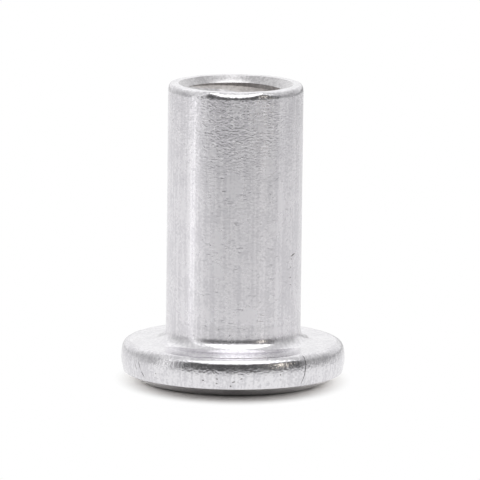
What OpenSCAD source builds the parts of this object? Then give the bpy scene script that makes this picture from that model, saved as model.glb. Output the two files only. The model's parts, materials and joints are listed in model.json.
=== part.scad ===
// Barrel nut: a turned aluminium sleeve with a broad flat head and a blind M6 threaded hole.
// Millimetres. The head face stands on z = 0, the axis is +Z and the open end is at the top.

/* [Head] */
// Diameter of the head over the widest line of its rim
head_d = 13.3; // [12.4:0.1:18]
// Thickness of the head
head_t = 2.4; // [2:0.1:3.5]
// Radius of the round on the upper edge of the rim
rim_round_r = 0.5; // [0.3:0.05:0.7]
// Radius of the bulge in the side of the rim
rim_bulge_r = 2.5; // [2:0.25:6]
// Height of the widest line of the rim above the head face
rim_widest_z = 1.5; // [1.3:0.05:1.7]
// Height of the bevel around the head face
bevel_h = 0.6; // [0.3:0.05:0.9]
// Inward run of the bevel around the head face
bevel_run = 1.1; // [0.5:0.05:1.3]

/* [Barrel] */
// Diameter of the barrel
barrel_d = 8; // [7.8:0.1:10]
// Length of the barrel from the flat of the head to the open end
barrel_len = 15.4; // [13.5:0.1:40]
// Radius of the fillet where the barrel meets the head
root_fillet_r = 0.75; // [0.3:0.05:1.2]
// Radius of the round on the outer edge of the open end
lip_round_r = 0.45; // [0.1:0.05:0.55]

/* [Threaded hole] */
// Minor diameter of the thread, which is the wall of the plain bore
bore_d = 5; // [4.2:0.1:6]
// Diameter of the 45 degree chamfer at the mouth
mouth_d = 6.8; // [6.2:0.1:7]
// Depth of the straight wall below the open end
bore_depth = 13; // [8:0.5:15]
// Point angle of the drill at the bottom of the hole
drill_angle = 118; // [90:2:140]

/* [Hidden] */
$fn = 128;
head_r = head_d / 2;
barrel_r = barrel_d / 2;
bore_r = bore_d / 2;
mouth_r = mouth_d / 2;
total_h = head_t + barrel_len;

// The side of the rim is an arc that the bevel cuts off at a crease.
rim_arc_x = head_r - rim_bulge_r;
crease_x = rim_arc_x + sqrt(pow(rim_bulge_r, 2) - pow(rim_widest_z - bevel_h, 2));
face_r = crease_x - bevel_run;
foot_x = face_r + bevel_run / 4;

// The round of the upper edge is tangent to the flat of the head and laps the bulge by a hair,
// so that the two arcs cross cleanly.
rim_lap = 0.001;
round_z = head_t - rim_round_r;
round_a = asin((round_z - rim_widest_z) / (rim_bulge_r - rim_round_r));
round_x = rim_arc_x + (rim_bulge_r - rim_round_r) * cos(round_a) + rim_lap;
blend_z = rim_widest_z + rim_bulge_r * sin(round_a);

// Hole levels: end of the straight wall and tip of the drill point.
bore_end_z = total_h - bore_depth;
bore_tip_z = bore_end_z - bore_r / tan(drill_angle / 2);

// Half section of the head: face, bevel, bulged side and rounded upper edge.
module head_section() {
    difference() {
        union() {
            polygon([[0, 0], [foot_x, 0], [round_x, round_z], [round_x, head_t], [0, head_t]]);
            intersection() {
                translate([rim_arc_x, rim_widest_z]) circle(r = rim_bulge_r);
                square([head_d, blend_z]);
            }
            translate([round_x, round_z]) circle(r = rim_round_r);
        }
        polygon([
            [face_r - bevel_run, -bevel_h], [head_d, -bevel_h], [crease_x + bevel_run, 2 * bevel_h]
        ]);
    }
}

// Half section of the barrel with the round on its outer edge.
module barrel_section() {
    lip_z = total_h - lip_round_r;
    lip_x = barrel_r - lip_round_r;
    polygon([[0, bevel_h], [barrel_r, bevel_h], [barrel_r, lip_z], [lip_x, total_h], [0, total_h]]);
    translate([lip_x, lip_z]) circle(r = lip_round_r);
}

// Half section of the fillet at the root of the barrel.
module fillet_section() {
    difference() {
        translate([barrel_r - root_fillet_r, head_t - root_fillet_r]) square(2 * root_fillet_r);
        translate([barrel_r + root_fillet_r, head_t + root_fillet_r]) circle(r = root_fillet_r);
    }
}

// Half section of the hole: drill point, straight wall and chamfered mouth.
module hole_section() {
    chamfer_z = total_h - (mouth_r - bore_r);
    polygon([
        [0, bore_tip_z], [bore_r, bore_end_z], [bore_r, chamfer_z],
        [mouth_r, total_h], [mouth_r, total_h + 1], [0, total_h + 1]
    ]);
}

// The whole nut, turned from one piece.
module barrel_nut() {
    color("#c6c5c9")
    rotate_extrude()
    difference() {
        union() {
            head_section();
            barrel_section();
            fillet_section();
        }
        hole_section();
    }
}

barrel_nut();
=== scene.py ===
"""Visual model of the barrel nut: turned body, cut thread, small damage and bare drawn aluminium."""

import json
import logging
import math
from dataclasses import dataclass, field
from enum import Enum
from typing import Union

import bpy
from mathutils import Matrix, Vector, noise

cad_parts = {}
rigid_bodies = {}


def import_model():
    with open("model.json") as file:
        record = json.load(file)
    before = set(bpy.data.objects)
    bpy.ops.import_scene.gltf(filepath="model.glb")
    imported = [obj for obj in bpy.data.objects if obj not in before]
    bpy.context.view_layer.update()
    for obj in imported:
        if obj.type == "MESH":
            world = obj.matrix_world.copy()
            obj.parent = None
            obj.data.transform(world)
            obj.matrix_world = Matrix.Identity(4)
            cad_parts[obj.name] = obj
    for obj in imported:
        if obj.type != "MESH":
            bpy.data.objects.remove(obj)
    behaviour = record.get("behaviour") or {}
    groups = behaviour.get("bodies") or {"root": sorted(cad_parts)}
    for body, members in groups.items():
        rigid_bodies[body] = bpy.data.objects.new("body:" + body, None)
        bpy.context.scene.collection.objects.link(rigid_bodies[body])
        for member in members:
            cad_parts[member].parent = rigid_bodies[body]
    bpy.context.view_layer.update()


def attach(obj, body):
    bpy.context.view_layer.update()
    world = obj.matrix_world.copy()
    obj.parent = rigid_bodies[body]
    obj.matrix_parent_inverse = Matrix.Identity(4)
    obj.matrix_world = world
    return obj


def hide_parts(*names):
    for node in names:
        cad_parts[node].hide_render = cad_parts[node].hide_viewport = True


LOG = logging.getLogger("barrel_nut")
MM = 0.001
MICROMETRE = 1.0e-6
FULL_TURN = 2.0 * math.pi

ProfilePoint = tuple[float, float]
Triple = tuple[float, float, float]
Colour = tuple[float, float, float, float]
Span = tuple[float, float]
SoftStep = tuple[Span, Span]
Socket = bpy.types.NodeSocket
SocketOrNumber = Union[bpy.types.NodeSocket, float]


class Skin(Enum):
    """Finishes on the nut, by the order of its material slots; the tapped and torn ones also hold painted
    shade.
    """

    DRAWN = 0
    BURNISHED = 1
    TAPPED_WITH_HOLE_SHADE = 2
    TORN_WITH_PIT_SHADE = 3
    COUNTERSUNK = 4
    TUMBLED = 5


def deselect_all() -> None:
    """Leave edit mode and select nothing."""
    if bpy.context.object is not None and bpy.context.object.mode != "OBJECT":
        bpy.ops.object.mode_set(mode="OBJECT")
    bpy.ops.object.select_all(action="DESELECT")


def pick(piece: bpy.types.Object) -> None:
    """Make one object the selected and active one.

    Args:
        piece: the object.
    """
    deselect_all()
    piece.select_set(True)
    bpy.context.view_layer.objects.active = piece


def on_axis(azimuth: float, radius: float, height: float) -> Vector:
    """Point around the nut's axis.

    Args:
        azimuth: degrees from the front (-Y), positive to the right (+X).
        radius: distance from the axis.
        height: distance above the floor.

    Returns:
        The point as a vector, in the unit of radius and height.
    """
    turn = math.radians(azimuth)
    return Vector((radius * math.sin(turn), -radius * math.cos(turn), height))


def arc(centre: ProfilePoint, radius: float, start: float, end: float, steps: int) -> list[ProfilePoint]:
    """Points of a circular arc in the half section.

    Args:
        centre: radius and height of the arc's centre.
        radius: radius of the arc.
        start: first angle in degrees above the outward direction.
        end: last angle in degrees.
        steps: number of equal steps.

    Returns:
        steps + 1 points from start to end.
    """
    points = []
    for step in range(steps + 1):
        angle = math.radians(start + (end - start) * step / steps)
        points.append((centre[0] + radius * math.cos(angle), centre[1] + radius * math.sin(angle)))
    return points


def line(start: ProfilePoint, end: ProfilePoint, steps: int) -> list[ProfilePoint]:
    """Points of a straight line in the half section.

    Args:
        start: first point.
        end: last point.
        steps: number of equal steps.

    Returns:
        steps + 1 points, both ends included.
    """
    return [
        (start[0] + (end[0] - start[0]) * step / steps, start[1] + (end[1] - start[1]) * step / steps)
        for step in range(steps + 1)
    ]


def begin_point(name: str, place: Vector) -> bpy.types.Object:
    """Add a plane and merge it to one vertex, left selected in edit mode.

    Args:
        name: name of the new object and its mesh.
        place: where the vertex goes.

    Returns:
        The new object.
    """
    deselect_all()
    bpy.ops.mesh.primitive_plane_add(size=1.0)
    piece = bpy.context.object
    piece.name = name
    piece.data.name = name
    bpy.ops.object.mode_set(mode="EDIT")
    bpy.ops.mesh.select_all(action="SELECT")
    bpy.ops.mesh.merge(type="CENTER")
    bpy.ops.transform.translate(value=place)
    return piece


def extrude_along(points: list[Vector]) -> None:
    """Draw an edge chain by extruding the selected vertex from the first point to the last."""
    for before, after in zip(points, points[1:]):
        bpy.ops.mesh.extrude_vertices_move(TRANSFORM_OT_translate={"value": after - before})


def weld(threshold: float) -> None:
    """Merge doubles and turn the faces outwards, in edit mode.

    Args:
        threshold: distance under which vertices merge.
    """
    bpy.ops.mesh.select_all(action="SELECT")
    bpy.ops.mesh.remove_doubles(threshold=threshold)
    bpy.ops.mesh.normals_make_consistent(inside=False)


def cut(piece: bpy.types.Object, cutter: bpy.types.Object) -> None:
    """Take a cutter's volume out of a piece and remove the cutter.

    Args:
        piece: the object to cut.
        cutter: closed object whose material the cut faces take.
    """
    pick(piece)
    modifier = piece.modifiers.new(cutter.name, "BOOLEAN")
    modifier.operation = "DIFFERENCE"
    modifier.solver = "EXACT"
    modifier.material_mode = "TRANSFER"
    modifier.object = cutter
    bpy.ops.object.modifier_apply(modifier=modifier.name)
    bpy.data.objects.remove(cutter, do_unlink=True)


@dataclass(frozen=True)
class Pattern:
    """A noise on Object coordinates: cells per metre, octaves, and how far it bends its own lookup."""

    cells: Triple
    detail: float
    bend: float = 0.0


@dataclass
class Wiring:
    """Value nodes in one node tree."""

    tree: bpy.types.NodeTree

    def feed(self, value: SocketOrNumber, socket: Socket) -> None:
        """Link a value to a socket, or write a plain number on it.

        Args:
            value: socket or number.
            socket: input that takes it.
        """
        if isinstance(value, bpy.types.NodeSocket):
            self.tree.links.new(value, socket)
        else:
            socket.default_value = value

    def math(self, operation: str, first: SocketOrNumber, second: SocketOrNumber) -> Socket:
        """Join two values with a math node.

        Args:
            operation: Blender's name of the operation.
            first: socket or number.
            second: socket or number.

        Returns:
            The result.
        """
        node = self.tree.nodes.new("ShaderNodeMath")
        node.operation = operation
        self.feed(first, node.inputs[0])
        self.feed(second, node.inputs[1])
        return node.outputs["Value"]

    def step(self, value: Socket, span: Span, levels: Span = (0.0, 1.0)) -> Socket:
        """Step from one level to another with soft ends.

        Args:
            value: what drives the step.
            span: values at which the step starts and ends.
            levels: levels before and after it.

        Returns:
            The level.
        """
        node = self.tree.nodes.new("ShaderNodeMapRange")
        node.interpolation_type = "SMOOTHSTEP"
        for name, number in zip(("From Min", "From Max", "To Min", "To Max"), span + levels):
            node.inputs[name].default_value = number
        self.tree.links.new(value, node.inputs["Value"])
        return node.outputs["Result"]

    def choose(self, switch: Socket, off: SocketOrNumber, on: SocketOrNumber) -> Socket:
        """Pick between two values.

        Args:
            switch: 0 or 1.
            off: value at 0.
            on: value at 1.

        Returns:
            The chosen value.
        """
        node = self.tree.nodes.new("ShaderNodeMix")
        node.data_type = "FLOAT"
        self.tree.links.new(switch, node.inputs["Factor"])
        self.feed(off, node.inputs["A"])
        self.feed(on, node.inputs["B"])
        return node.outputs["Result"]

    def split(self, vector: Socket) -> tuple[Socket, ...]:
        """Take a vector apart.

        Args:
            vector: the vector.

        Returns:
            Its X, Y and Z.
        """
        node = self.tree.nodes.new("ShaderNodeSeparateXYZ")
        self.tree.links.new(vector, node.inputs["Vector"])
        return tuple(node.outputs)

    def place(self) -> Socket:
        """Object coordinates, in metres."""
        return self.tree.nodes.new("ShaderNodeTexCoord").outputs["Object"]

    def scaled_place(self, scale: Triple) -> Socket:
        """Object coordinates stretched along X, Y and Z.

        Args:
            scale: the three factors.

        Returns:
            The stretched coordinates.
        """
        mapping = self.tree.nodes.new("ShaderNodeMapping")
        mapping.inputs["Scale"].default_value = scale
        self.tree.links.new(self.place(), mapping.inputs["Vector"])
        return mapping.outputs["Vector"]

    def noise(self, pattern: Pattern) -> Socket:
        """Noise on Object coordinates.

        Args:
            pattern: cells, octaves and bend of the noise.

        Returns:
            The noise value, near 0 to 1.
        """
        texture = self.tree.nodes.new("ShaderNodeTexNoise")
        texture.inputs["Scale"].default_value = 1.0
        texture.inputs["Detail"].default_value = pattern.detail
        texture.inputs["Distortion"].default_value = pattern.bend
        self.tree.links.new(self.scaled_place(pattern.cells), texture.inputs["Vector"])
        return texture.outputs["Fac"]


class SurfaceMarks:
    """Node group of the marks that drawing, heading and handling leave in aluminium, with painted shade in
    its sunk flecks.

    An edge holds the noise values between which a mark comes up.
    """

    NAME = "surface_marks"
    INPUTS = (
        ("Wrinkle", 0.0),
        ("Draw Line", 0.0),
        ("Grain", 0.0),
        ("Roughness", 0.2),
        ("Roughness Spread", 0.0),
    )
    OUTPUTS = ("Height", "Roughness", "Shade")
    WRINKLES = Pattern((4000.0, 4000.0, 8400.0), 1.0, 0.3)
    WRINKLE_EDGE = (0.43, 0.57)
    WRINKLE_RISE = ((0.0115, 0.0175), (0.14, 0.99))
    PATCHES = Pattern((520.0, 520.0, 380.0), 2.0)
    PATCH_EDGE = (0.3, 0.62)
    PATCH_LEAST = 0.8
    FLECKS = Pattern((2600.0, 2600.0, 4600.0), 2.0)
    FLECK_DEPTH = ((0.36, 0.28), (0.0, 0.6))
    DRAW_LINES = Pattern((5200.0, 5200.0, 110.0), 3.0)
    GRAIN = Pattern((6200.0, 6200.0, 6200.0), 2.0)
    BLOTCHES = Pattern((900.0, 900.0, 700.0), 4.0)
    MEAN_NOISE = 0.5
    SHADE_EDGE = (1.3, 1.7)

    def __init__(self) -> None:
        """Start with no group built."""
        self.tree: bpy.types.NodeTree | None = None

    def group(self) -> bpy.types.NodeTree:
        """The node group, built on first use."""
        if self.tree is None:
            self.tree = self.build()
        return self.tree

    def build(self) -> bpy.types.NodeTree:
        """Make the group.

        Returns:
            A group that gives heights in micrometres, a roughness and a shade over the surface.
        """
        tree = bpy.data.node_groups.new(self.NAME, "ShaderNodeTree")
        for name, value in self.INPUTS:
            socket = tree.interface.new_socket(name, in_out="INPUT", socket_type="NodeSocketFloat")
            socket.default_value = value
        for name in self.OUTPUTS:
            tree.interface.new_socket(name, in_out="OUTPUT", socket_type="NodeSocketFloat")
        given = tree.nodes.new("NodeGroupInput").outputs
        result = tree.nodes.new("NodeGroupOutput").inputs
        wiring = Wiring(tree)

        wrinkles = wiring.step(wiring.noise(self.WRINKLES), self.WRINKLE_EDGE)
        patches = wiring.step(wiring.noise(self.PATCHES), self.PATCH_EDGE)
        patches = wiring.math("MAXIMUM", patches, self.PATCH_LEAST)
        flecks = wiring.step(wiring.noise(self.FLECKS), *self.FLECK_DEPTH)
        draw_lines = wiring.noise(self.DRAW_LINES)
        grain = wiring.noise(self.GRAIN)
        blotches = wiring.noise(self.BLOTCHES)

        level = wiring.split(wiring.place())[2]
        wrinkle_share = wiring.math("MULTIPLY", wrinkles, patches)
        wrinkle_share = wiring.math("MULTIPLY", wrinkle_share, wiring.step(level, *self.WRINKLE_RISE))
        sunk_share = wiring.math("SUBTRACT", wrinkle_share, flecks)
        height = wiring.math("MULTIPLY", sunk_share, given["Wrinkle"])
        height = wiring.math("ADD", height, wiring.math("MULTIPLY", draw_lines, given["Draw Line"]))
        height = wiring.math("ADD", height, wiring.math("MULTIPLY", grain, given["Grain"]))
        tree.links.new(height, result["Height"])

        wander = wiring.math("SUBTRACT", blotches, self.MEAN_NOISE)
        uneven = wiring.math("MULTIPLY", wander, given["Roughness Spread"])
        tree.links.new(wiring.math("ADD", given["Roughness"], uneven), result["Roughness"])

        # Tone from blotches, grain and draw lines; the sunk flecks also darken it, a painted shade in these
        # tiny pits.
        tone_and_fleck_shade = wiring.math("ADD", wiring.math("ADD", blotches, grain), draw_lines)
        tone_and_fleck_shade = wiring.math("SUBTRACT", tone_and_fleck_shade, flecks)
        tree.links.new(wiring.step(tone_and_fleck_shade, self.SHADE_EDGE), result["Shade"])
        return tree


@dataclass(frozen=True)
class Aluminium:
    """One finish of bare aluminium.

    Heights of the marks are in micrometres. A stretch over 0 makes the gloss run along the nut's axis.
    """

    name: str
    light: Colour
    dull: Colour
    roughness: float
    roughness_spread: float
    grain: float
    draw_line: float = 0.0
    wrinkle: float = 0.0
    stretch: float = 0.0
    stretch_turn: float = 0.25

    def material(self, marks: SurfaceMarks) -> bpy.types.Material:
        """Build the finish.

        Args:
            marks: the shared group of surface marks.

        Returns:
            The new material.
        """
        material = bpy.data.materials.new(self.name)
        material.use_nodes = True
        tree = material.node_tree
        shader = tree.nodes["Principled BSDF"]
        shader.inputs["Metallic"].default_value = 1.0
        group = tree.nodes.new("ShaderNodeGroup")
        group.node_tree = marks.group()
        for name, value in (
            ("Wrinkle", self.wrinkle),
            ("Draw Line", self.draw_line),
            ("Grain", self.grain),
            ("Roughness", self.roughness),
            ("Roughness Spread", self.roughness_spread),
        ):
            group.inputs[name].default_value = value
        tint = tree.nodes.new("ShaderNodeMix")
        tint.data_type = "RGBA"
        tint.inputs["A"].default_value = self.dull
        tint.inputs["B"].default_value = self.light
        tree.links.new(group.outputs["Shade"], tint.inputs["Factor"])
        tree.links.new(tint.outputs["Result"], shader.inputs["Base Color"])
        tree.links.new(group.outputs["Roughness"], shader.inputs["Roughness"])
        bump = tree.nodes.new("ShaderNodeBump")
        bump.inputs["Strength"].default_value = 1.0
        bump.inputs["Distance"].default_value = MICROMETRE
        tree.links.new(group.outputs["Height"], bump.inputs["Height"])
        tree.links.new(bump.outputs["Normal"], shader.inputs["Normal"])
        if self.stretch > 0.0:
            shader.inputs["Anisotropic"].default_value = self.stretch
            shader.inputs["Anisotropic Rotation"].default_value = self.stretch_turn
            tangent = tree.nodes.new("ShaderNodeTangent")
            tangent.direction_type = "RADIAL"
            tangent.axis = "Z"
            tree.links.new(tangent.outputs["Tangent"], shader.inputs["Tangent"])
        return material


@dataclass(frozen=True)
class Pit:
    """A small dent in the surface, in degrees and millimetres."""

    azimuth: float
    radius: float
    height: float
    half_width: float
    half_height: float
    depth: float
    tilt: float = 0.0


@dataclass(frozen=True)
class Crack:
    """A fine split down the rim: points of azimuth, radius, height, half width and depth."""

    name: str
    points: tuple[tuple[float, float, float, float, float], ...]


@dataclass
class NutBody:
    """The turned body, as half section sizes in millimetres, angles in degrees and numbers of steps."""

    head_r: float = 6.65
    head_t: float = 2.4
    rim_round_r: float = 0.5
    rim_bulge_r: float = 2.5
    rim_lower_r: float = 1.6
    rim_taper: float = 11.0
    rim_widest_h: float = 1.42
    bevel_h: float = 0.6
    face_r: float = 5.38
    barrel_r: float = 4.0
    total_h: float = 17.8
    root_fillet_r: float = 0.75
    lip_round_r: float = 0.45
    bore_r: float = 2.5
    mouth_r: float = 3.4
    bore_end: float = 4.8
    bore_tip: float = 3.298

    # Marks of the tools
    die_mark_h: float = 3.74
    die_mark_half: float = 0.03
    die_mark_step: float = 0.004
    ring_rise: float = 0.02
    ring_sink: float = -0.012

    # Wear of the open end: places and shares of its squarer edge, depths and waves of its sinking
    square_lip: tuple[float, ...] = (-23.0, 23.0)
    square_width: float = 10.0
    square_from: float = 45.0
    square_over: float = 30.0
    square_share: float = 0.6
    lip_sink: float = 0.02
    broad_sink: float = 0.02
    broad_waves: float = 2.1
    fine_sink: float = 0.008
    fine_waves: float = 9.0
    mouth_margin: float = 0.05

    # Borders of the finishes: shares of the fillet's and the lip's radius, and room beside a wall
    drawn_from: float = 0.6
    tumbled_lip: float = 0.4
    wall_room: float = 0.02

    # Steps of the section and of its turn
    face_steps: int = 3
    taper_steps: int = 4
    bulge_steps: int = 6
    rim_round_steps: int = 12
    flat_steps: int = 8
    round_steps: int = 14
    foot_steps: int = 2
    barrel_steps: int = 54
    chamfer_steps: int = 6
    turns: int = 288
    hair: float = 0.001
    weld_gap: float = 1.0e-4

    @property
    def chamfer_z(self) -> float:
        """Height of the lower end of the 45 degree chamfer."""
        return self.total_h - (self.mouth_r - self.bore_r)

    def rim_profile(self) -> list[ProfilePoint]:
        """Side of the head from the bevel's crease up to the flat.

        Returns:
            Points of radius and height.
        """
        mid = self.rim_widest_h
        side = (self.head_r - self.rim_bulge_r, mid)
        lower_side = (self.head_r - self.rim_lower_r, mid)
        round_z = self.head_t - self.rim_round_r
        reach = self.rim_bulge_r - self.rim_round_r
        round_a = math.degrees(math.asin((round_z - mid) / reach))
        round_x = side[0] + reach * math.cos(math.radians(round_a))
        lower = arc(lower_side, self.rim_lower_r, -self.rim_taper, 0.0, self.taper_steps)
        draft = (lower[0][1] - self.bevel_h) * math.tan(math.radians(self.rim_taper))
        rim = line((lower[0][0] - draft, self.bevel_h), lower[0], self.taper_steps)
        rim += lower[1:]
        rim += arc(side, self.rim_bulge_r, 0.0, round_a, self.bulge_steps)[1:]
        rim += arc((round_x, round_z), self.rim_round_r, round_a, 90.0, self.rim_round_steps)[1:]
        return rim

    def profile(self) -> list[ProfilePoint]:
        """Half section from the centre of the head face, up the outside and down the hole.

        Returns:
            Points of radius and height.
        """
        rim = self.rim_profile()
        foot_r = self.barrel_r + self.die_mark_step
        fillet_c = (foot_r + self.root_fillet_r, self.head_t + self.root_fillet_r)
        fillet = arc(fillet_c, self.root_fillet_r, 270.0, 180.0, self.round_steps)
        lip_c = (self.barrel_r - self.lip_round_r, self.total_h - self.lip_round_r)
        lip = arc(lip_c, self.lip_round_r, 0.0, 90.0, self.round_steps)
        mouth = (self.mouth_r, self.total_h)
        chamfer = line(mouth, (self.bore_r, self.chamfer_z), self.chamfer_steps)

        points = line((0.0, 0.0), (self.face_r, 0.0), self.face_steps)
        points += line((self.face_r, 0.0), rim[0], self.face_steps)[1:]
        points += rim[1:]
        points += line(rim[-1], fillet[0], self.flat_steps)[1:]
        points += fillet[1:]
        points += line(fillet[-1], (foot_r, self.die_mark_h - self.die_mark_half), self.foot_steps)[1:]
        points += line((self.barrel_r, self.die_mark_h + self.die_mark_half), lip[0], self.barrel_steps)
        points += lip[1:]
        points += line(lip[-1], mouth, self.foot_steps)[1:]
        for step, (radius, height) in enumerate(chamfer[1:-1]):
            points.append((radius, height + (self.ring_rise if step % 2 else self.ring_sink)))
        points.append(chamfer[-1])
        points += [(self.bore_r, self.bore_end), (0.0, self.bore_tip)]
        return points

    def build(self) -> bpy.types.Object:
        """Draw the half section and spin it round the axis.

        Returns:
            The body in millimetres, closed, with its faces outwards.
        """
        points = [Vector((r, 0.0, z)) for r, z in self.profile()]
        body = begin_point("barrel_nut_metal", points[0])
        extrude_along(points)
        bpy.ops.mesh.select_all(action="SELECT")
        bpy.ops.mesh.spin(
            steps=self.turns,
            angle=FULL_TURN,
            center=(0, 0, 0),
            axis=(0, 0, 1),
            use_auto_merge=True,
        )
        weld(self.weld_gap)
        bpy.ops.object.mode_set(mode="OBJECT")
        return body

    def lip_reach(self, azimuth: float) -> float:
        """How far the round of the open end reaches inwards.

        Args:
            azimuth: degrees from the front, positive to the right.

        Returns:
            The reach in millimetres, shorter where the edge is squarer.
        """
        square = sum(math.exp(-(((azimuth - place) / self.square_width) ** 2)) for place in self.square_lip)
        square += min(max((abs(azimuth) - self.square_from) / self.square_over, 0.0), 1.0)
        return self.lip_round_r * (1.0 - self.square_share * min(square, 1.0))

    def batter_lip(self, body: bpy.types.Object) -> None:
        """Square the open end's edge in places and sink it, as cutting off and handling leave it.

        Args:
            body: the turned body, in millimetres.
        """
        lip_z = self.total_h - self.lip_round_r
        inner = self.barrel_r - self.lip_round_r
        broad_place = Vector((0.0, 0.0, 3.0))
        fine_place = Vector((0.0, 0.0, 7.0))
        for vertex in body.data.vertices:
            place = vertex.co
            radius = math.hypot(place.x, place.y)
            if place.z < lip_z - self.hair or radius < self.mouth_r - self.mouth_margin:
                continue
            around = Vector((place.x, place.y, 0.0)).normalized()
            if radius > inner - self.hair:
                reach = self.lip_reach(math.degrees(math.atan2(place.x, -place.y)))
                wide = self.barrel_r - reach * (self.barrel_r - radius) / self.lip_round_r
                place.x = around.x * wide
                place.y = around.y * wide
            broad = self.broad_sink * noise.noise(around * self.broad_waves + broad_place)
            fine = self.fine_sink * noise.noise(around * self.fine_waves + fine_place)
            share = (place.z - lip_z) / self.lip_round_r
            place.z -= max(share, 0.0) * (self.lip_sink + broad + fine)

    def skin_of(self, centre: Vector) -> Skin:
        """Finish of a face of the body.

        Args:
            centre: the face's centre, in millimetres.

        Returns:
            The finish.
        """
        radius = math.hypot(centre.x, centre.y)
        if radius < self.bore_r + self.wall_room and centre.z > self.bore_tip:
            return Skin.TAPPED_WITH_HOLE_SHADE
        if radius < self.mouth_r and centre.z > self.chamfer_z:
            return Skin.COUNTERSUNK
        low = self.head_t + self.drawn_from * self.root_fillet_r
        high = self.total_h - self.lip_round_r
        if radius > self.barrel_r - self.wall_room and low < centre.z < high:
            return Skin.DRAWN
        on_rim = radius > self.head_r - self.rim_round_r and centre.z > self.bevel_h
        on_lip = radius > self.barrel_r - self.tumbled_lip * self.lip_round_r and centre.z > high
        return Skin.TUMBLED if on_rim or on_lip else Skin.BURNISHED


@dataclass
class Thread:
    """The M6 thread: a right-hand groove cut into the wall of the hole, in millimetres and degrees."""

    pitch: float = 1.0
    root_r: float = 3.0
    inner_r: float = 2.3
    root_width: float = 0.25
    flank: float = 30.0
    start_h: float = 5.82
    start_turn: float = 0.0
    rounds: int = 13
    steps: int = 96
    weld_gap: float = 1.0e-5

    def cutter(self, material: bpy.types.Material) -> bpy.types.Object:
        """Sweep the groove's section along the helix.

        Args:
            material: finish that the cut leaves, darkened with painted shade of the hole.

        Returns:
            A closed coil.
        """
        half = self.root_width / 2.0
        flare = half + (self.root_r - self.inner_r) * math.tan(math.radians(self.flank))
        section = ((self.inner_r, -flare), (self.root_r, -half), (self.root_r, half), (self.inner_r, flare))
        points = [on_axis(self.start_turn, r, self.start_h + z) for r, z in section]
        coil = begin_point("thread_cutter", points[0])
        extrude_along(points)
        bpy.ops.mesh.select_all(action="SELECT")
        bpy.ops.mesh.edge_face_add()
        bpy.ops.mesh.delete(type="ONLY_FACE")
        bpy.ops.object.mode_set(mode="OBJECT")
        screw = coil.modifiers.new("helix", "SCREW")
        screw.angle = FULL_TURN
        screw.screw_offset = self.pitch
        screw.iterations = self.rounds
        screw.steps = self.steps
        screw.render_steps = self.steps
        bpy.ops.object.modifier_apply(modifier=screw.name)
        bpy.ops.object.mode_set(mode="EDIT")
        bpy.ops.mesh.select_all(action="SELECT")
        bpy.ops.mesh.fill_holes(sides=0)
        weld(self.weld_gap)
        bpy.ops.object.mode_set(mode="OBJECT")
        coil.data.materials.clear()
        coil.data.materials.append(material)
        return coil


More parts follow.
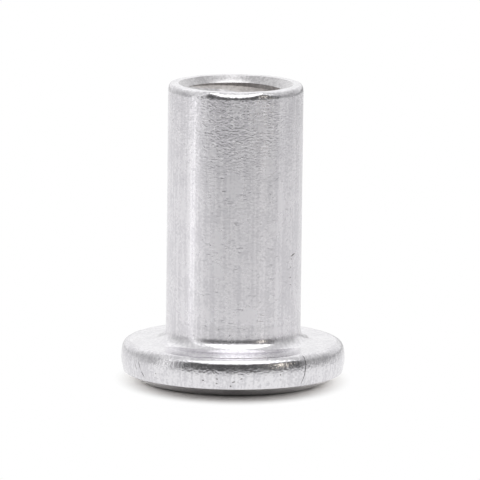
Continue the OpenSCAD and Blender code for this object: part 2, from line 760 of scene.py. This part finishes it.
@dataclass
class Damage:
    """Pits and splits that the nut's surface shows, in degrees and millimetres."""

    pits: tuple[Pit, ...] = (
        Pit(60.3, 4.0, 7.88, 0.3, 0.06, 0.035, -14.0),
        Pit(57.7, 4.0, 7.66, 0.07, 0.05, 0.025),
        Pit(57.2, 4.0, 7.17, 0.06, 0.06, 0.02),
        Pit(56.5, 4.0, 6.56, 0.07, 0.05, 0.02),
        Pit(56.8, 4.0, 6.14, 0.06, 0.05, 0.02),
        Pit(-15.2, 6.62, 1.11, 0.07, 0.045, 0.03),
        Pit(-8.0, 6.636, 1.23, 0.08, 0.04, 0.03, 10.0),
        Pit(-8.2, 6.588, 0.95, 0.06, 0.05, 0.03),
        Pit(0.5, 6.612, 1.06, 0.11, 0.045, 0.03, -14.0),
        Pit(-1.0, 6.552, 0.81, 0.05, 0.05, 0.03),
        Pit(4.5, 6.638, 1.26, 0.08, 0.035, 0.03, -10.0),
        Pit(25.0, 6.649, 1.42, 0.04, 0.05, 0.03),
        Pit(-43.0, 6.63, 1.18, 0.05, 0.05, 0.025),
        Pit(-56.0, 6.645, 1.45, 0.3, 0.035, 0.04, 62.0),
        Pit(-53.2, 6.58, 0.92, 0.28, 0.03, 0.04, 55.0),
        Pit(-59.6, 6.64, 1.35, 0.28, 0.03, 0.04, 64.0),
    )
    cracks: tuple[Crack, ...] = (
        Crack(
            "rim_split",
            (
                (40.7, 6.2, 2.44, 0.012, 0.08),
                (40.7, 6.36, 2.34, 0.022, 0.1),
                (40.5, 6.553, 2.13, 0.028, 0.12),
                (40.8, 6.621, 1.88, 0.03, 0.12),
                (40.0, 6.649, 1.57, 0.026, 0.11),
                (39.5, 6.638, 1.26, 0.022, 0.09),
                (38.0, 6.538, 0.76, 0.008, 0.03),
            ),
        ),
    )
    pit_lift: float = 0.5
    blade_reach: float = 0.06
    first_drop: float = -0.01
    weld_gap: float = 1.0e-6

    def pit_cutter(self, pit: Pit) -> bpy.types.Object:
        """Flattened ball that a pit is cut with.

        Args:
            pit: the pit.

        Returns:
            The ball, lifted by a share of the pit's depth.
        """
        lift = self.pit_lift * pit.depth
        deselect_all()
        bpy.ops.mesh.primitive_ico_sphere_add(
            subdivisions=3,
            radius=1.0,
            location=on_axis(pit.azimuth, pit.radius + lift, pit.height),
            rotation=(0.0, math.radians(pit.tilt), math.radians(pit.azimuth)),
            scale=(pit.half_width, pit.depth + lift, pit.half_height),
        )
        bpy.ops.object.transform_apply(location=True, rotation=True, scale=True)
        return bpy.context.object

    def crack_cutter(self, crack: Crack) -> bpy.types.Object:
        """Thin blade of triangular section that follows the crack down the rim.

        Args:
            crack: the crack.

        Returns:
            The closed blade.
        """
        rings = []
        for azimuth, radius, height, half_width, depth in crack.points:
            wide = half_width * (depth + self.blade_reach) / depth
            side = on_axis(azimuth + 90.0, wide, 0.0)
            outer = on_axis(azimuth, radius + self.blade_reach, height)
            rings.append((on_axis(azimuth, radius - depth, height), outer + side, outer - side))
        blade = begin_point(crack.name, rings[0][0])
        extrude_along(list(rings[0]))
        bpy.ops.mesh.select_all(action="SELECT")
        bpy.ops.mesh.edge_face_add()
        for ring in rings[1:]:
            bpy.ops.mesh.extrude_region_move(TRANSFORM_OT_translate={"value": (0.0, 0.0, self.first_drop)})
            bpy.ops.object.mode_set(mode="OBJECT")
            for vertex, place in zip(blade.data.vertices[-3:], ring):
                vertex.co = place
            bpy.ops.object.mode_set(mode="EDIT")
        weld(self.weld_gap)
        bpy.ops.object.mode_set(mode="OBJECT")
        return blade

    def cutter(self, material: bpy.types.Material) -> bpy.types.Object:
        """All cutters as one object.

        Args:
            material: finish that the damage shows, darkened with painted shade of the pits and the split.

        Returns:
            The joined cutter.
        """
        tools = [self.pit_cutter(pit) for pit in self.pits]
        tools += [self.crack_cutter(crack) for crack in self.cracks]
        deselect_all()
        for tool in tools:
            tool.data.materials.clear()
            tool.data.materials.append(material)
            tool.select_set(True)
        bpy.context.view_layer.objects.active = tools[0]
        bpy.ops.object.join()
        joined = bpy.context.object
        joined.name = "damage_cutter"
        return joined


@dataclass
class BarrelNut:
    """The whole nut: body, thread, damage and finishes."""

    body: NutBody = field(default_factory=NutBody)
    thread: Thread = field(default_factory=Thread)
    damage: Damage = field(default_factory=Damage)
    smooth_angle: float = 30.0
    drawn: Aluminium = Aluminium(
        name="drawn_aluminium",
        light=(0.825, 0.81, 0.835, 1.0),
        dull=(0.715, 0.7, 0.73, 1.0),
        roughness=0.27,
        roughness_spread=0.05,
        grain=2.4,
        draw_line=5.0,
        wrinkle=10.0,
        stretch=0.45,
    )
    burnished: Aluminium = Aluminium(
        name="burnished_aluminium",
        light=(0.82, 0.81, 0.83, 1.0),
        dull=(0.71, 0.7, 0.725, 1.0),
        roughness=0.17,
        roughness_spread=0.06,
        grain=4.5,
        draw_line=1.5,
        wrinkle=2.5,
    )
    tumbled: Aluminium = Aluminium(
        name="tumbled_aluminium",
        light=(0.77, 0.76, 0.78, 1.0),
        dull=(0.65, 0.64, 0.665, 1.0),
        roughness=0.2,
        roughness_spread=0.12,
        grain=17.0,
        draw_line=6.0,
        wrinkle=3.0,
    )
    # Painted shade: the threaded hole gets a darker, browner colour, partly the cut metal's own dull tone
    # and partly shade inside the hole.
    tapped_with_hole_shade: Aluminium = Aluminium(
        name="tapped_aluminium_with_hole_shade",
        light=(0.6, 0.57, 0.56, 1.0),
        dull=(0.46, 0.44, 0.43, 1.0),
        roughness=0.42,
        roughness_spread=0.12,
        grain=3.0,
    )
    # Painted shade: pits and the split get a dark colour, partly torn metal's own dull tone and partly
    # shade in these small recesses.
    torn_with_pit_shade: Aluminium = Aluminium(
        name="torn_aluminium_with_pit_shade",
        light=(0.58, 0.57, 0.57, 1.0),
        dull=(0.42, 0.41, 0.41, 1.0),
        roughness=0.5,
        roughness_spread=0.1,
        grain=0.6,
    )
    countersunk: Aluminium = Aluminium(
        name="countersunk_aluminium",
        light=(0.64, 0.63, 0.64, 1.0),
        dull=(0.52, 0.51, 0.52, 1.0),
        roughness=0.26,
        roughness_spread=0.12,
        grain=2.0,
    )

    def build(self) -> bpy.types.Object:
        """Model the nut, at the origin and in metres.

        Returns:
            The finished piece.
        """
        marks = SurfaceMarks()
        finishes = {
            Skin.DRAWN: self.drawn.material(marks),
            Skin.BURNISHED: self.burnished.material(marks),
            Skin.TAPPED_WITH_HOLE_SHADE: self.tapped_with_hole_shade.material(marks),
            Skin.TORN_WITH_PIT_SHADE: self.torn_with_pit_shade.material(marks),
            Skin.COUNTERSUNK: self.countersunk.material(marks),
            Skin.TUMBLED: self.tumbled.material(marks),
        }
        piece = self.body.build()
        self.body.batter_lip(piece)
        self.dress(piece, finishes)
        LOG.info("turned body: %d faces", len(piece.data.polygons))
        cut(piece, self.thread.cutter(finishes[Skin.TAPPED_WITH_HOLE_SHADE]))
        LOG.info("thread cut: %d faces", len(piece.data.polygons))
        cut(piece, self.damage.cutter(finishes[Skin.TORN_WITH_PIT_SHADE]))
        LOG.info("damage cut: %d faces", len(piece.data.polygons))
        pick(piece)
        bpy.ops.object.shade_smooth_by_angle(angle=math.radians(self.smooth_angle))
        piece.scale = (MM, MM, MM)
        bpy.ops.object.transform_apply(location=True, rotation=True, scale=True)
        return piece

    def dress(self, piece: bpy.types.Object, finishes: dict[Skin, bpy.types.Material]) -> None:
        """Give every face of the body its finish.

        Args:
            piece: the turned body, in millimetres.
            finishes: material of each skin.
        """
        piece.data.materials.clear()
        for skin in Skin:
            piece.data.materials.append(finishes[skin])
        for face in piece.data.polygons:
            face.material_index = self.body.skin_of(face.center).value


@dataclass
class Card:
    """A studio card round the nut's axis that only reflections show, in degrees and metres."""

    name: str
    left: float
    right: float
    start: ProfilePoint
    end: ProfilePoint
    glow: float
    colour: Colour = (1.0, 1.0, 1.0, 1.0)
    steps: int = 48

    def build(self) -> bpy.types.Object:
        """Draw the card's edge and spin it round the axis.

        Returns:
            The card, hidden from the camera, from diffuse rays and from shadows.
        """
        edge = [on_axis(self.left, *self.start), on_axis(self.left, *self.end)]
        card = begin_point(self.name, edge[0])
        extrude_along(edge)
        bpy.ops.mesh.select_all(action="SELECT")
        bpy.ops.mesh.spin(
            steps=self.steps,
            angle=math.radians(self.right - self.left),
            center=(0, 0, 0),
            axis=(0, 0, -1),
        )
        bpy.ops.object.mode_set(mode="OBJECT")
        card.data.materials.append(self.material())
        card.visible_camera = False
        card.visible_diffuse = False
        card.visible_shadow = False
        return card

    def material(self) -> bpy.types.Material:
        """Plain even glow.

        Returns:
            The new material.
        """
        material = bpy.data.materials.new(self.name)
        material.use_nodes = True
        tree = material.node_tree
        tree.nodes.clear()
        glow = tree.nodes.new("ShaderNodeEmission")
        glow.inputs["Color"].default_value = self.colour
        glow.inputs["Strength"].default_value = self.glow
        output = tree.nodes.new("ShaderNodeOutputMaterial")
        tree.links.new(glow.outputs["Emission"], output.inputs["Surface"])
        return material


def floor_card(name: str, sweep: Span, reach: Span, lift: float, glow: float) -> Card:
    """Card that lies on the floor.

    Args:
        name: name of the card.
        sweep: first and last azimuth, in degrees.
        reach: inner and outer radius, in metres.
        lift: height above the floor, in metres.
        glow: strength of its light.

    Returns:
        The card, not built yet.
    """
    return Card(name, *sweep, (reach[0], lift), (reach[1], lift), glow)


@dataclass
class Studio:
    """White photo tent with a dark opening on the camera's side, a pale floor and the camera.

    Cards and floor are in degrees and metres, the camera in degrees and millimetres. Each step of
    the tent's light holds the values of a direction at which it starts and ends, and its strength there.
    """

    floor_size: float = 3.0
    floor_colour: Colour = (0.91, 0.89, 0.862, 1.0)
    shadow_reach: Span = (0.0064, 0.0086)
    shadow_narrow: float = 1.2

    # Tent as reflections show it
    tent_overhead: SoftStep = ((0.2, 0.8), (0.58, 1.0))
    tent_behind: SoftStep = ((0.3, 0.95), (0.0, 0.68))
    tent_right: SoftStep = ((-0.9, 0.9), (0.06, -0.06))

    # Tent as it lights the floor
    low_light: SoftStep = ((0.32, 0.95), (1.5, 0.0))
    back_light: SoftStep = ((-0.7, 0.7), (0.0, 3.0))
    side_light: SoftStep = ((0.555, 0.9), (0.0, 9.0))
    side_rise: SoftStep = ((0.39, 0.44), (0.0, 1.0))

    target: Triple = (0.346, 0.0, 8.398)
    pivot_h: float = 8.7
    distance: float = 420.0
    pitch: float = 9.561
    roll: float = 0.659
    lens: float = 530.91
    sensor: float = 36.0
    clip: Span = (0.001, 10.0)
    cards: tuple[Card, ...] = (
        Card("dark_opening", -54.0, 78.0, (0.3, 0.0), (0.3, 0.25), 0.1),
        floor_card("rim_floor", (-100.0, 110.0), (0.0068, 0.02), 0.0001, 1.0),
        floor_card("near_floor", (-60.0, 82.0), (0.018, 0.04), 0.0002, 0.83),
        floor_card("dim_floor", (-60.0, 82.0), (0.04, 0.066), 0.0002, 0.96),
        floor_card("mid_floor", (-60.0, 82.0), (0.066, 0.09), 0.0002, 0.82),
        floor_card("dark_floor", (-60.0, 82.0), (0.09, 0.3), 0.0002, 0.49),
        floor_card("near_floor_left", (-60.0, -34.0), (0.018, 0.04), 0.00025, 0.84),
        floor_card("dim_floor_left", (-60.0, -34.0), (0.04, 0.066), 0.00025, 1.02),
        floor_card("mid_floor_left", (-60.0, -34.0), (0.066, 0.09), 0.00025, 0.94),
        floor_card("dark_floor_left", (-60.0, -34.0), (0.09, 0.3), 0.00025, 0.59),
        floor_card("right_floor", (82.0, 180.0), (0.016, 0.3), 0.0001, 0.8),
        floor_card("left_floor", (180.0, 300.0), (0.016, 0.3), 0.0001, 0.88),
        Card("front_softbox", -56.0, 80.0, (0.3, 0.255), (0.3, 1.1), 2.0),
        Card("top_softbox", -56.0, 80.0, (0.3, 1.1), (0.02, 1.1), 1.7),
        Card("left_strip", -77.5, -69.5, (0.3, 0.0), (0.3, 0.5), 1.38),
        floor_card("left_strip_floor", (-77.5, -69.5), (0.02, 0.3), 0.0003, 1.38),
        floor_card("right_strip_near", (46.5, 50.5), (0.02, 0.066), 0.0003, 1.12),
        floor_card("right_strip_far", (46.5, 50.5), (0.066, 0.3), 0.0003, 0.76),
        Card("lamp", 47.0, 54.0, (0.29, 0.062), (0.29, 0.13), 3.2, (1.0, 0.93, 0.82, 1.0)),
        Card("far_edge_right", 95.0, 180.0, (0.3, 0.0), (0.3, 0.022), 0.4),
        Card("far_edge_left", 180.0, 265.0, (0.3, 0.0), (0.3, 0.022), 0.65),
        floor_card("far_floor_right", (95.0, 180.0), (0.14, 0.3), 0.0002, 0.35),
        floor_card("far_floor_left", (180.0, 265.0), (0.14, 0.3), 0.0002, 0.7),
    )

    def build(self) -> None:
        """Set up floor, cards, world and camera."""
        self.floor()
        for card in self.cards:
            card.build()
        self.world()
        self.camera()
        bpy.context.scene.view_settings.view_transform = "Standard"

    def floor(self) -> None:
        """Pale floor that takes the shadow near the nut and is plain white to the eye farther out."""
        deselect_all()
        bpy.ops.mesh.primitive_plane_add(size=self.floor_size)
        floor = bpy.context.object
        floor.name = "floor"
        material = bpy.data.materials.new("floor_paper")
        material.use_nodes = True
        tree = material.node_tree
        wiring = Wiring(tree)
        shader = tree.nodes["Principled BSDF"]
        shader.inputs["Base Color"].default_value = self.floor_colour
        shader.inputs["Roughness"].default_value = 1.0
        shader.inputs["Specular IOR Level"].default_value = 0.0
        distance = tree.nodes.new("ShaderNodeVectorMath")
        distance.operation = "LENGTH"
        tree.links.new(wiring.scaled_place((self.shadow_narrow, 1.0, 1.0)), distance.inputs["Vector"])
        away = wiring.step(distance.outputs["Value"], self.shadow_reach)
        path = tree.nodes.new("ShaderNodeLightPath").outputs
        seen = wiring.math("MAXIMUM", path["Is Camera Ray"], path["Is Glossy Ray"])
        seen = wiring.math("MAXIMUM", seen, path["Is Transmission Ray"])
        white = tree.nodes.new("ShaderNodeEmission")
        mix = tree.nodes.new("ShaderNodeMixShader")
        tree.links.new(wiring.math("MULTIPLY", away, seen), mix.inputs["Fac"])
        tree.links.new(shader.outputs["BSDF"], mix.inputs[1])
        tree.links.new(white.outputs["Emission"], mix.inputs[2])
        tree.links.new(mix.outputs["Shader"], tree.nodes["Material Output"].inputs["Surface"])
        floor.data.materials.append(material)

    def world(self) -> None:
        """White to the eye, light from the back and sides on the floor, an uneven tent in reflections."""
        world = bpy.data.worlds.new("tent")
        bpy.context.scene.world = world
        world.use_nodes = True
        tree = world.node_tree
        tree.nodes.clear()
        wiring = Wiring(tree)
        direction = tree.nodes.new("ShaderNodeTexCoord").outputs["Generated"]
        across, ahead, up = wiring.split(direction)
        overhead = wiring.step(up, *self.tent_overhead)
        behind = wiring.step(ahead, *self.tent_behind)
        right = wiring.step(across, *self.tent_right)
        tent = wiring.math("ADD", wiring.math("ADD", overhead, behind), right)

        low = wiring.step(up, *self.low_light)
        back = wiring.math("MULTIPLY", low, wiring.step(ahead, *self.back_light))
        raised = wiring.step(up, *self.side_rise)
        sideways = wiring.step(wiring.math("MULTIPLY", across, across), *self.side_light)
        on_floor = wiring.math("ADD", back, wiring.math("MULTIPLY", sideways, raised))

        path = tree.nodes.new("ShaderNodeLightPath").outputs
        shiny = wiring.math("MAXIMUM", path["Is Glossy Ray"], path["Is Transmission Ray"])
        light = wiring.choose(shiny, on_floor, tent)
        strength = wiring.choose(path["Is Camera Ray"], light, 1.0)
        background = tree.nodes.new("ShaderNodeBackground")
        tree.links.new(strength, background.inputs["Strength"])
        output = tree.nodes.new("ShaderNodeOutputWorld")
        tree.links.new(background.outputs["Background"], output.inputs["Surface"])

    def camera(self) -> None:
        """Camera at the photograph's angle, turned a little about its view axis."""
        tilt = math.radians(self.pitch)
        back = -self.distance * math.cos(tilt)
        height = self.pivot_h + self.distance * math.sin(tilt)
        place = Vector((0.0, back, height)) * MM
        bpy.ops.object.camera_add(location=place)
        camera = bpy.context.object
        aim = Vector(self.target) * MM - place
        turn = aim.to_track_quat("-Z", "Y").to_matrix().to_4x4()
        turn.translation = place
        camera.matrix_world = turn
        bpy.context.view_layer.update()
        camera.rotation_euler.rotate_axis("Z", math.radians(self.roll))
        camera.data.lens = self.lens
        camera.data.sensor_width = self.sensor
        camera.data.clip_start, camera.data.clip_end = self.clip
        bpy.context.scene.camera = camera


def main() -> None:
    """Load the frame, build the nut and the studio, and note the sizes."""
    logging.basicConfig(level=logging.INFO, format="%(message)s")
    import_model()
    nut = BarrelNut().build()
    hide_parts("barrel_nut")
    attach(nut, "root")
    LOG.info("%s rides on root", nut.name)
    Studio().build()


if __name__ == "__main__":
    main()
